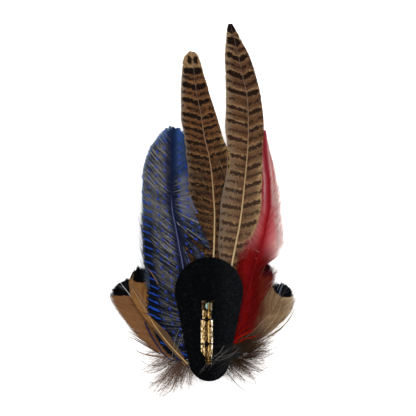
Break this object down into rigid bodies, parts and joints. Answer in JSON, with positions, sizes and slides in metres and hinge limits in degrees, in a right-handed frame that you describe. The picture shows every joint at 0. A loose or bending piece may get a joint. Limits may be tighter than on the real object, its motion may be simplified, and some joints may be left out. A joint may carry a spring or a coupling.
{
  "type": "feather hat plume",
  "caption": "Hat plume of long barred tail feathers, dyed side feathers and black-tipped body feathers on a pear-shaped felt backing, with a hinged bar pin and safety catch.",
  "frame": {"origin": "on the table under the middle of the plume's outline, the plume lying face down", "axes": "+Y towards the tips of the long tail feathers, +Z out of the felt back with the pin, +X to the right as seen from the back"},
  "size_m": [0.1106, 0.225, 0.019],
  "materials": {
    "black_felt": "pressed wool felt",
    "pheasant_tail": "natural feather",
    "blue_guinea": "dyed feather",
    "red_hackle": "dyed feather",
    "tan_body": "natural feather",
    "brown_down": "natural down",
    "gold_metal": "gilt stamped steel",
    "black_thread": "twisted thread"
  },
  "bodies": {
    "plume": {"felt_backing": "black_felt", "tail_feather_left": "pheasant_tail", "tail_feather_right": "pheasant_tail", "guinea_feather": "blue_guinea", "red_feather": "red_hackle", "body_feather_left_outer": "tan_body", "body_feather_left_inner": "tan_body", "body_feather_right_outer": "tan_body", "body_feather_right_inner": "tan_body", "down_fluff_left": "brown_down", "down_fluff_right": "brown_down", "pin_bar": "gold_metal", "hinge_rivet": "gold_metal", "stitch_upper": "black_thread", "stitch_lower": "black_thread"},
    "needle": {"pin_needle": "gold_metal"},
    "catch": {"catch_rotor": "gold_metal"}
  },
  "joints": [
    {"name": "needle_hinge", "type": "hinge", "parent": "plume", "child": "needle", "pos_m": [0.0039, -0.09, 0.0167], "axis": [1, 0, 0], "range_deg": [0, 75]},
    {"name": "catch_turn", "type": "hinge", "parent": "plume", "child": "catch", "pos_m": [0.0039, -0.0577, 0.0167], "axis": [0, -1, 0], "range_deg": [0, 100]}
  ]
}
